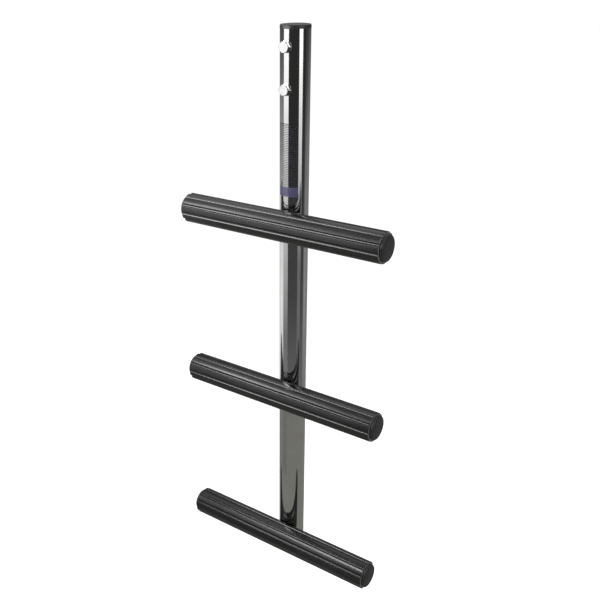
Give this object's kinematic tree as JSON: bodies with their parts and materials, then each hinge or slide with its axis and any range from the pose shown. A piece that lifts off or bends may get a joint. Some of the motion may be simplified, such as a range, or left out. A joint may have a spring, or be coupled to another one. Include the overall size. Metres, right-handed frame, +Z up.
{
  "type": "single-pole boarding ladder",
  "caption": "Straight tube ladder with ribbed rubber-sleeved rungs across the front of a central pole, held at the top by through bolts.",
  "frame": {"origin": "midway between the two bolts, in the plane that touches the back of the pole, where a bracket is fastened", "axes": "+Z up along the pole, +X to the right along the rungs as the climber sees them, -Y towards the climber, +Y towards the boat or dock"},
  "size_m": [0.3128, 0.0814, 0.769],
  "materials": {
    "polished_steel": "mirror polished stainless steel",
    "satin_steel": "satin stainless steel",
    "weld_steel": "rippled weld bead",
    "fastener_steel": "bright stainless steel",
    "sleeve_rubber": "semi-gloss moulded rubber",
    "black_plastic": "matt moulded plastic"
  },
  "bodies": {
    "root": {"pole_tube": "polished_steel", "pole_top_cap": "black_plastic", "pole_bottom_cap": "black_plastic", "rung_tube_top": "satin_steel", "rung_tube_middle": "satin_steel", "rung_tube_bottom": "satin_steel", "weld_top": "weld_steel", "weld_middle": "weld_steel", "weld_bottom": "weld_steel", "sleeve_top": "sleeve_rubber", "sleeve_middle": "sleeve_rubber", "sleeve_bottom": "sleeve_rubber", "plug_top_left": "black_plastic", "plug_top_right": "black_plastic", "plug_middle_left": "black_plastic", "plug_middle_right": "black_plastic", "plug_bottom_left": "black_plastic", "plug_bottom_right": "black_plastic", "bolt_upper": "fastener_steel", "bolt_lower": "fastener_steel", "head_washer_upper": "fastener_steel", "head_washer_lower": "fastener_steel"}
  },
  "joints": []
}
